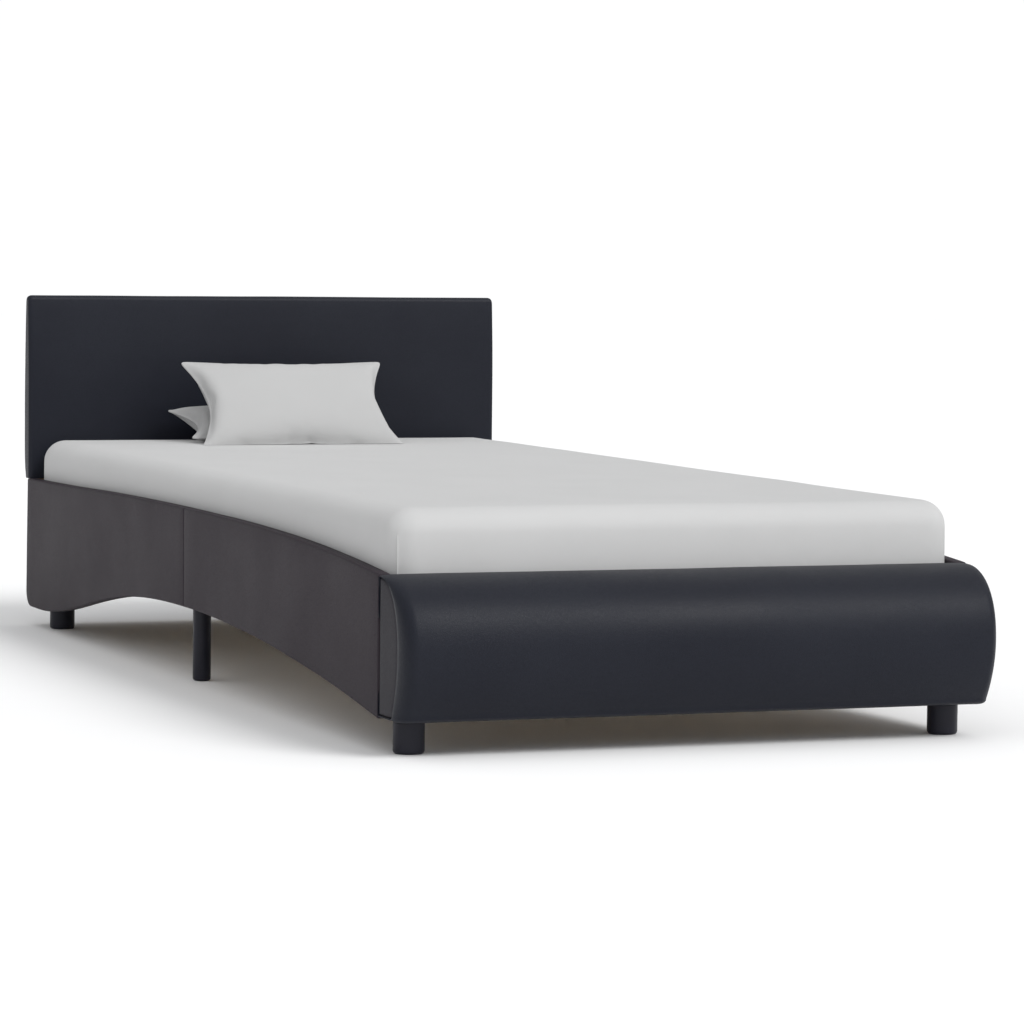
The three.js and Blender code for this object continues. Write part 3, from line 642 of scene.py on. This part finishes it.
# millimetres; heights above the floor, depths from the footboard's inner face
footRoll = {
    "depth": 119, "top": 257, "bottom": 51, "widest": 148, "toe": 8, "undercut": 0.3, "fullness": 2.3,
    "roof": 4, "under": 30,  # where the flat top ends, and a point along the flat underside
    "hemTop": 196, "hemBottom": 84, "hemRise": 18, "backEdge": 3, "edgeSteps": 3,
    "roundAcross": 20, "roundDeep": 38, "roundHigh": 3, "roundSteps": 8,
    "toeSteps": 6, "lowSteps": 16, "highSteps": 28,
    "tuckBack": 1.5, "tuckShare": (0.975, 0.986), "tuckDeep": 6,  # the cover's edge, turned in at the ends
    "cover": 1.6, "acrossStep": 30, "softness": 1.1, "lumps": 160,
}


# the roll from its toe up to its flat top; turn is how far into the end's rounding it is
def footOutline(turn=0.0):
    f = footRoll
    bottom, top = f["bottom"] + f["roundHigh"] * turn, f["top"] - f["roundHigh"] * turn
    depth = f["depth"] - f["roundDeep"] * turn
    toe, widest = f["toe"], f["widest"]
    toeDepth = depth * (1 - f["undercut"])
    below = 1 - toe / (widest - bottom)
    toeReach = depth * (1 - f["undercut"] * below * below) - (toeDepth - toe)
    points = [(-(toeDepth - toe) - toeReach * s, bottom + toe * (1 - c)) for s, c in quarter(f["toeSteps"])]
    for i in range(1, f["lowSteps"]):
        t = below * (1 - i / f["lowSteps"])
        points.append((-depth * (1 - f["undercut"] * t * t), widest - (widest - bottom) * t))
    for t, _ in quarter(f["highSteps"]):
        reach = depth * (1 - t ** f["fullness"]) ** (1 / f["fullness"])
        points.append((-max(reach, f["roof"]), widest + (top - widest) * t))
    return points


# hem, underside, roll and hem again, seen from the side
def footLine():
    f = footRoll
    edge = f["backEdge"]
    low = [(0, f["hemBottom"]), (0, f["bottom"] + f["hemRise"])]
    low += [(-edge * (1 - c), f["bottom"] + edge * (1 - s)) for s, c in quarter(f["edgeSteps"])]
    low += [(-f["under"], f["bottom"])]
    high = [(-edge * (1 - s), f["top"] - edge * (1 - c)) for s, c in quarter(f["edgeSteps"])]
    high += [(0, f["top"] - f["hemRise"]), (0, f["hemTop"])]
    return low + footOutline() + high


# places across the bed and how far each is into the end's rounding
def rounded(half, across, steps):
    return [(half - across * (1 - s), 1 - c) for s, c in quarter(steps)]


# a line drawn at one side of the bed, pulled across it in even steps of about this many millimetres
def pullAcross(half, step):
    steps = round(2000 * half / step)
    bpy.ops.mesh.select_all(action="SELECT")
    for _ in range(steps):
        pull(Vector((2 * half / steps, 0, 0)))


def makeFootRoll():
    f = footRoll
    flatHalf = bedSide - f["roundAcross"] / 1000
    line = [Vector((-flatHalf, footFace + y / 1000, z / 1000)) for y, z in footLine()]
    piece = drawLine("footboardRoll", line)
    pullAcross(flatHalf, f["acrossStep"])
    middle = (0, footFace, (f["top"] + f["bottom"]) / 2000)
    full = f["top"] - f["bottom"]
    for side in (1, -1):
        selectVerts(piece, lambda co: co.x * side > flatHalf - hair)
        lastX, lastDeep, lastHigh = flatHalf, f["depth"], full
        for x, turn in rounded(bedSide, f["roundAcross"] / 1000, f["roundSteps"])[1:]:
            deep, high = f["depth"] - f["roundDeep"] * turn, full - 2 * f["roundHigh"] * turn
            pull(Vector((side * (x - lastX), 0, 0)))
            scaleAbout((1, deep / lastDeep, high / lastHigh), middle)
            lastX, lastDeep, lastHigh = x, deep, high
        pull(mm(-side * f["tuckBack"], 0, 0))
        scaleAbout((1, *f["tuckShare"]), middle)
        pull(mm(-side * f["tuckDeep"], 0, 0))
        closeEdit()
    outward(piece)
    padding(piece, f["softness"], f["lumps"], "rollPadding")
    thicken(piece, f["cover"])
    smooth(piece, 50)
    return piece


# millimetres, and shares of the roll's own end
endCap = {
    "back": 2.5, "lowInset": 5.5, "highInset": 6, "share": (0.965, 0.972), "shift": 0.2,
    "inside": 6, "thickness": 3.6, "middle": 45,
    # each ring rises by the first number and shrinks to the other two
    "rings": ((0.7, 0.984, 0.992), (0.5, 0.966, 0.984), (0.6, 0.86, 0.92), (0.2, 0.6, 0.7)),
}


def makeEndCap():
    f, cap = footRoll, endCap
    middle = (f["top"] + f["bottom"]) / 2
    deep, high = cap["share"]
    curve = [(y * deep - cap["shift"], middle + (z - middle) * high) for y, z in footOutline(1.0)]
    backLow = (-cap["back"], f["bottom"] + cap["lowInset"])
    backHigh = (-cap["back"], f["top"] - cap["highInset"])
    x = -bedSide + cap["inside"] / 1000
    points = [Vector((x, footFace + y / 1000, z / 1000)) for y, z in (backLow, *curve, backHigh)]
    piece = drawFace("footboardEndCapLeft", points)
    pull(mm(-cap["thickness"], 0, 0))
    closeEdit()
    outward(piece)
    selectFaces(piece, lambda face: face.normal.x < -0.9)
    for rise, deep, high in cap["rings"]:
        pull(mm(-rise, 0, 0))
        scaleAbout((1, deep, high), (0, footFace - cap["middle"] / 1000, middle / 1000))
    closeEdit()
    smooth(piece, 60)
    return piece


roll = makeFootRoll()
settle(roll, "frame", "faux_leather")
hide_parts("footboard_cover")
leftCap = makeEndCap()
rightCap = mirrored(leftCap, "footboardEndCapRight")
# the end caps wear the lighter copy of the faux leather, painted light
for piece, side in ((leftCap, "left"), (rightCap, "right")):
    settle(piece, "frame", "faux_leather", "cap_leather_painted_light")
    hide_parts(f"footboard_end_cap_{side}")
print("footboard covered")


# millimetres; heights above the floor, depths from the headboard's front
headPanel = {
    "top": 622, "bottom": 277.1, "depth": 40, "topDepth": 18, "bottomDepth": 24, "middle": 21,
    "lean": 10, "leanStart": 430, "belly": 390, "bottomPower": 5, "hemFront": 7, "hemBack": 3,
    "sideInset": 2, "round": 9, "roundSteps": 8, "roundDeep": 0.34, "roundHigh": 0.018,
    "heightSteps": 18, "topSteps": 10, "endInset": 2,
    "cover": 1.4, "acrossStep": 30, "softness": 1.4, "lumps": 220,
}


def headFront(z):
    h = headPanel
    t = max(0, (z - h["leanStart"]) / (h["top"] - h["leanStart"]))
    return h["lean"] * t * t


def headBack(z):
    h = headPanel
    if z > h["belly"]:
        t = (z - h["belly"]) / (h["top"] - h["belly"])
        return h["depth"] - (h["depth"] - h["topDepth"] - h["lean"]) * t * t
    t = min(1, (h["belly"] - z) / (h["belly"] - h["bottom"]))
    return h["depth"] - (h["depth"] - h["bottomDepth"]) * t ** h["bottomPower"]


def headLine():
    h = headPanel
    shoulder = h["top"] - h["topDepth"] / 2
    steps = h["heightSteps"]
    heights = [h["bottom"] + (shoulder - h["bottom"]) * i / steps for i in range(steps + 1)]
    middle = (headFront(shoulder) + headBack(shoulder)) / 2
    reach = (headBack(shoulder) - headFront(shoulder)) / 2
    line = [(h["hemFront"], h["bottom"])]
    line += [(headFront(z), z) for z in heights]
    for i in range(1, h["topSteps"]):
        a = math.pi * i / h["topSteps"]
        line.append((middle - reach * math.cos(a), shoulder + h["topDepth"] / 2 * math.sin(a)))
    line += [(headBack(z), z) for z in reversed(heights)]
    return line + [(headBack(h["bottom"]) - h["hemBack"], h["bottom"])]


def makeHeadCover():
    h = headPanel
    half = bedSide - h["sideInset"] / 1000
    flatHalf = half - h["round"] / 1000
    line = [Vector((-flatHalf, headFace + y / 1000, z / 1000)) for y, z in headLine()]
    piece = drawLine("headboardCover", line)
    pullAcross(flatHalf, h["acrossStep"])
    middle = (0, headFace + h["middle"] / 1000, h["bottom"] / 1000)
    for side in (1, -1):
        selectVerts(piece, lambda co: co.x * side > flatHalf - hair)
        lastX, lastDeep, lastHigh = flatHalf, 1, 1
        for x, turn in rounded(half, h["round"] / 1000, h["roundSteps"])[1:]:
            deep, high = 1 - h["roundDeep"] * turn, 1 - h["roundHigh"] * turn
            pull(Vector((side * (x - lastX), 0, 0)))
            scaleAbout((1, deep / lastDeep, high / lastHigh), middle)
            lastX, lastDeep, lastHigh = x, deep, high
        bpy.ops.mesh.edge_face_add()
        bpy.ops.mesh.inset(thickness=h["endInset"] / 1000, depth=0)
        closeEdit()
    outward(piece)
    padding(piece, h["softness"], h["lumps"], "headPadding")
    thicken(piece, h["cover"])
    smooth(piece, 50)
    return piece


headCover = makeHeadCover()
settle(headCover, "frame", "faux_leather")
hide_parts("headboard_cover")
print("headboard covered")


# millimetres
leg = {
    "sides": 56, "footRadius": 5, "collarHeight": 6, "grooveWidth": 1.2, "grooveDepth": 0.7,
    "glideInset": 5, "glideRecess": 0.8, "glideGap": 1.2, "topGap": 0.3,
}


def makeLeg(name, node):
    low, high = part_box(node)
    at = (low + high) / 2
    height = high.z - low.z
    if node.startswith("front"):  # the CAD leg has a stud that goes up into the footboard
        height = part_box("footboard_cover")[0].z - leg["topGap"] / 1000
    clearSelection()
    bpy.ops.mesh.primitive_cylinder_add(vertices=leg["sides"], radius=(high.x - low.x) / 2, depth=height,
                                        location=(at.x, at.y, height / 2))
    piece = bpy.context.object
    piece.name = piece.data.name = name
    bpy.ops.object.transform_apply(location=True, rotation=True, scale=True)
    selectEdges(piece, lambda a, b: a.z < hair and b.z < hair)
    bpy.ops.mesh.bevel(offset=leg["footRadius"] / 1000, segments=5)
    # the one large face underneath gets a recess, with the glide standing in it
    selectFaces(piece, lambda f: f.normal.z < -0.9 and f.area > 0.0001)
    bpy.ops.mesh.inset(thickness=leg["glideInset"] / 1000, depth=0)
    pull(mm(0, 0, leg["glideRecess"]))
    bpy.ops.mesh.inset(thickness=leg["glideGap"] / 1000, depth=0)
    pull(mm(0, 0, -leg["glideRecess"]))
    closeEdit()
    grooveLow = height - leg["collarHeight"] / 1000
    grooveHigh = grooveLow + leg["grooveWidth"] / 1000
    cutAcross(piece, 2, [grooveLow, grooveHigh])
    selectFaces(piece, lambda f: grooveLow < f.center.z < grooveHigh and abs(f.normal.z) < 0.5)
    raiseFaces(-leg["grooveDepth"])
    closeEdit()
    outward(piece)
    smooth(piece, 35)
    return piece


for end in ("front", "middle", "rear"):
    for side in ("left", "right"):
        node = f"{end}_leg_{side}"
        piece = makeLeg(end + "Leg" + side.capitalize(), node)
        settle(piece, "frame", "leg_plastic")
        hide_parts(node)
print("legs made")


# millimetres; shrink is how far inside its CAD box the mattress stays, to leave room for the sheet
bedding = {
    "corner": 42, "edge": 40, "lowEdge": 20, "hem": 70, "grid": 50, "sheetThickness": 1.1,
    "sag": 2.2, "sagSize": 280, "seamWidth": 1.6, "seamRidge": 1.4, "seamFind": 1.2,
    "shrink": 2.5, "quilt": 90, "quiltBorder": 14, "quiltDepth": 1.8, "tape": 1.5, "tapeWidth": 14,
}


def makeBlock(name, low, high, corner, edge, lowEdge):
    clearSelection()
    bpy.ops.mesh.primitive_cube_add(size=1, location=(low + high) / 2)
    piece = bpy.context.object
    piece.name = piece.data.name = name
    piece.scale = high - low
    bpy.ops.object.transform_apply(location=True, rotation=True, scale=True)
    # the upright edges, then those round the top, then those round the bottom
    selectEdges(piece, lambda a, b: abs(a.z - b.z) > 0.05)
    bpy.ops.mesh.bevel(offset=corner, segments=8)
    closeEdit()
    selectEdges(piece, lambda a, b: a.z > high.z - hair and b.z > high.z - hair)
    bpy.ops.mesh.bevel(offset=edge, segments=7)
    closeEdit()
    selectEdges(piece, lambda a, b: a.z < low.z + hair and b.z < low.z + hair)
    bpy.ops.mesh.bevel(offset=lowEdge, segments=4)
    closeEdit()
    return piece


# a stitched ridge down each corner of the sheet
def seamCorners(piece, low, high):
    b = bedding
    slant = b["corner"] / 1000 * (1 - math.sqrt(0.5))

    def onCorner(co):
        fromSides = [min(co[i] - low[i], high[i] - co[i]) for i in range(2)]
        return all(abs(d - slant) < b["seamFind"] / 1000 for d in fromSides)

    selectEdges(piece, lambda p, q: onCorner(p) and onCorner(q) and abs(p.z - q.z) > 0.01)
    bpy.ops.mesh.bevel(offset=b["seamWidth"] / 2000, segments=1)
    bpy.ops.mesh.select_mode(type="FACE")
    raiseFaces(b["seamRidge"])
    closeEdit()


def makeSheet():
    b = bedding
    low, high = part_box("fitted_sheet")
    piece = makeBlock("fittedSheet", low, high, b["corner"] / 1000, b["edge"] / 1000, b["lowEdge"] / 1000)
    hem = b["hem"] / 1000
    for axis in range(2):
        hemLow, hemHigh = low[axis] + hem, high[axis] - hem
        cutAcross(piece, axis, [hemLow, *spaced(hemLow, hemHigh, b["grid"] / 1000), hemHigh])
    seamCorners(piece, low, high)

    def insideHem(at):
        return all(low[i] + hem < at[i] < high[i] - hem for i in range(2))

    selectFaces(piece, lambda f: f.normal.z < -0.9 and insideHem(f.center))
    bpy.ops.mesh.delete(type="FACE")
    closeEdit()
    padding(piece, b["sag"], b["sagSize"], "sheetSag")
    modify(piece, "SUBSURF", levels=1, render_levels=1)
    thicken(piece, b["sheetThickness"])
    smooth(piece, 60)
    return piece


def makeMattress():
    b = bedding
    low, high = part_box("mattress")
    quilt = b["quilt"] / 1000
    shrink = mm(b["shrink"], b["shrink"], b["shrink"])
    corner, edge, lowEdge = ((b[part] - b["shrink"]) / 1000 for part in ("corner", "edge", "lowEdge"))
    piece = makeBlock("mattressBlock", low + shrink, high - shrink, corner, edge, lowEdge)
    for axis in range(2):
        cutAcross(piece, axis, spaced(low[axis], high[axis], quilt))
    selectFaces(piece, lambda f: f.normal.z < -0.99 and f.area > quilt ** 2 / 2)
    bpy.ops.mesh.inset(thickness=b["quiltBorder"] / 1000, depth=b["quiltDepth"] / 1000, use_individual=True)
    closeEdit()
    tapeLow = low.z + b["lowEdge"] / 1000
    tapeHigh = tapeLow + b["tapeWidth"] / 1000
    cutAcross(piece, 2, [tapeLow, tapeHigh])
    selectFaces(piece, lambda f: abs(f.normal.z) < 0.3 and tapeLow < f.center.z < tapeHigh)
    raiseFaces(b["tape"])
    closeEdit()
    outward(piece)
    smooth(piece, 40)
    return piece


sheetPiece = makeSheet()
settle(sheetPiece, "mattress", "sheet_cotton")
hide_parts("fitted_sheet")
mattressPiece = makeMattress()
settle(mattressPiece, "mattress", "mattress_ticking")
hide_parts("mattress")
print("mattress made")


# lengths in millimetres; swell is how much larger the flat case is than the pillow
pillow = {
    "grid": 10.5, "swell": 1.05, "seamWidth": 4, "seamRidge": 2.2, "sideBow": 0.075, "endBow": -0.03,
    "pressure": 4.0, "frames": 9, "stepsPerFrame": 6, "mass": 0.25,
    "stretch": 18, "shear": 6, "bending": 0.25,
    "leftward": 7, "rest": 0.6, "flatShare": 0.03,
}
frontPillow = {"name": "frontPillow", "size": (400, 217, 70), "tilt": 46, "sink": 8}
backPillow = {"name": "backPillow", "size": (400, 176, 62), "tilt": 15, "sink": 6}


# pulls the sides in, or lets them out, most of all halfway between the corners
def bow(piece, axis, length, count, share):
    for i in range(count + 1):
        place = length * (i / count - 0.5)
        scale = [1, 1, 1]
        scale[1 - axis] = 1 - share * (1 - (2 * i / count - 1) ** 2)
        selectVerts(piece, lambda co: abs(co[axis] - place) < pillow["grid"] / 4000)
        scaleAbout(scale, (0, 0, 0))
        closeEdit()


# two sheets of cloth, one above the other, joined all round
def makePillowCase(name, width, depth, across, along):
    clearSelection()
    bpy.ops.mesh.primitive_grid_add(x_subdivisions=across, y_subdivisions=along, size=1, location=(0, 0, 0))
    piece = bpy.context.object
    piece.name = piece.data.name = name
    piece.scale = (width, depth, 1)
    bpy.ops.object.transform_apply(location=False, rotation=False, scale=True)
    bow(piece, 1, depth, along, pillow["sideBow"])
    bow(piece, 0, width, across, pillow["endBow"])
    openEdit(piece, everything=True)
    bpy.ops.mesh.duplicate_move(TRANSFORM_OT_translate={"value": mm(0, 0, pillow["seamWidth"])})
    bpy.ops.mesh.select_all(action="SELECT")
    bpy.ops.mesh.select_mode(type="EDGE")
    bpy.ops.mesh.region_to_loop()
    bpy.ops.mesh.bridge_edge_loops()
    closeEdit()
    outward(piece)
    return piece


def inflate(piece):
    pickUp(piece)
    bpy.ops.object.modifier_add(type="CLOTH")
    fabric = piece.modifiers[-1]
    fabric.settings.quality = pillow["stepsPerFrame"]
    fabric.settings.mass = pillow["mass"]
    fabric.settings.tension_stiffness = pillow["stretch"]
    fabric.settings.compression_stiffness = pillow["stretch"]
    fabric.settings.shear_stiffness = pillow["shear"]
    fabric.settings.bending_stiffness = pillow["bending"]
    fabric.settings.use_pressure = True
    fabric.settings.uniform_pressure_force = pillow["pressure"]
    fabric.settings.effector_weights.gravity = 0
    fabric.point_cache.frame_start = 1
    fabric.point_cache.frame_end = pillow["frames"]
    for number in range(1, pillow["frames"] + 1):
        bpy.context.scene.frame_set(number)
    bpy.ops.object.modifier_apply(modifier=fabric.name)
    bpy.context.scene.frame_set(1)


def corners(piece):
    co = [v.co for v in piece.data.vertices]
    return [Vector([pick(p[i] for p in co) for i in range(3)]) for pick in (min, max)]


def makePillow(kind, node):
    size = mm(*kind["size"])
    width, depth = (side * pillow["swell"] / 1000 for side in kind["size"][:2])
    across, along = (round(length * 1000 / pillow["grid"]) for length in (width, depth))
    piece = makePillowCase(kind["name"], width, depth, across, along)
    inflate(piece)
    # the faces made last join the two sheets, and become the seam
    selectFaces(piece, lambda f: f.index >= 2 * across * along)
    raiseFaces(pillow["seamRidge"])
    closeEdit()
    low, high = corners(piece)
    openEdit(piece, everything=True)
    bpy.ops.transform.translate(value=-(low + high) / 2)
    scaleAbout([want / have for want, have in zip(size, high - low)], (0, 0, 0))
    bpy.ops.transform.rotate(value=-math.radians(kind["tilt"]), orient_axis="X", center_override=(0, 0, 0))
    closeEdit()
    place = sum(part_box(node), Vector()) / 2
    place.x -= pillow["leftward"] / 1000
    place.z = mattressTop - corners(piece)[0].z - kind["sink"] / 1000
    openEdit(piece, everything=True)
    bpy.ops.transform.translate(value=place)
    closeEdit()
    # flattened where it lies on the sheet
    flatAt = mattressTop + pillow["rest"] / 1000
    selectVerts(piece, lambda co: co.z < flatAt)
    scaleAbout((1, 1, -pillow["flatShare"]), (0, 0, flatAt))
    closeEdit()
    modify(piece, "SUBSURF", levels=1, render_levels=1)
    smooth(piece, 60)
    return piece


for node, kind in (("front_pillow", frontPillow), ("back_pillow", backPillow)):
    piece = makePillow(kind, node)
    settle(piece, node, "pillow_cotton")
    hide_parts(node)
print("pillows made")


paleFloor = {"size": 60, "color": (0.94, 0.94, 0.94), "worn": (0.92, 0.92, 0.92), "patch": 2.0}


def makeFloor():
    clearSelection()
    bpy.ops.mesh.primitive_plane_add(size=paleFloor["size"], location=(0, 0, 0))
    floor = bpy.context.object
    floor.name = "floor"
    made, tree, shader, where = newMaterial("paleFloor", 0.8, Specular_IOR_Level=0.1)
    tone = useTone(tree, where, paleFloor["color"], paleFloor["worn"], paleFloor["patch"], amount=0.5)
    tree.links.new(tone[0], shader.inputs["Base Color"])
    floor.data.materials.append(made)


light = {
    "skyColor": (0.985, 0.99, 1.0), "skyLow": 0.48, "skyHigh": 1.04, "skySeen": 1.02,
    "softBoxFrom": (-0.10, -0.62, 0.78),  # the sky is brightest from there
    "dark": -0.1,  # and darkest past this cosine from it
    "keyStrength": 1.60, "keyAngle": 28, "keyFrom": (0.38, -0.62, 0.69),
}


def lightRoom():
    world = bpy.data.worlds.new("studio")
    world.use_nodes = True
    tree = world.node_tree
    sky = tree.nodes["Background"]
    sky.inputs[0].default_value = (*light["skyColor"], 1)
    heading = tree.nodes.new("ShaderNodeTexCoord").outputs["Generated"]
    facing = addNode(tree, "ShaderNodeVectorMath", {"operation": "DOT_PRODUCT"},
                     n0=heading, n1=Vector(light["softBoxFrom"]).normalized()).outputs["Value"]
    glow = addNode(tree, "ShaderNodeMapRange", {"interpolation_type": "SMOOTHSTEP"}, n0=facing,
                   n1=light["dark"], n2=1.0, n3=light["skyLow"], n4=light["skyHigh"]).outputs[0]
    seen = addNode(tree, "ShaderNodeLightPath").outputs["Is Camera Ray"]
    strength = addNode(tree, "ShaderNodeMix", {"data_type": "FLOAT"}, n0=seen, n2=glow, n3=light["skySeen"])
    tree.links.new(strength.outputs[0], sky.inputs[1])
    bpy.context.scene.world = world
    bpy.ops.object.light_add(type="SUN", location=(0, 0, 5))
    key = bpy.context.object
    key.name = "keyLight"
    key.data.energy = light["keyStrength"]
    key.data.angle = math.radians(light["keyAngle"])
    key.rotation_euler = Vector(light["keyFrom"]).to_track_quat("Z", "Y").to_euler()
    bpy.context.scene.view_settings.view_transform = "Standard"


# metres, radians and a lens in millimetres
view = {
    "place": (-2.368495, -6.378359, 0.730212), "yaw": 0.370062, "pitch": 0.066532, "roll": 0.011239,
    "lens": 141.95, "sensor": 36, "far": 200,
}


def placeCamera():
    aside, ahead = math.sin(view["yaw"]), math.cos(view["yaw"])
    level = math.cos(view["pitch"])
    forward = Vector((aside * level, ahead * level, -math.sin(view["pitch"])))
    sideways = Vector((ahead, -aside, 0))
    upward = sideways.cross(forward)
    right = sideways * math.cos(view["roll"]) + upward * math.sin(view["roll"])
    up = upward * math.cos(view["roll"]) - sideways * math.sin(view["roll"])
    lens = bpy.data.cameras.new("camera")
    lens.lens = view["lens"]
    lens.sensor_width = view["sensor"]
    lens.clip_end = view["far"]
    camera = bpy.data.objects.new("camera", lens)
    bpy.context.scene.collection.objects.link(camera)
    turned = Matrix((right, up, -forward)).transposed().to_4x4()
    camera.matrix_world = Matrix.Translation(view["place"]) @ turned
    bpy.context.scene.camera = camera


makeFloor()
lightRoom()
placeCamera()
print("stage set")
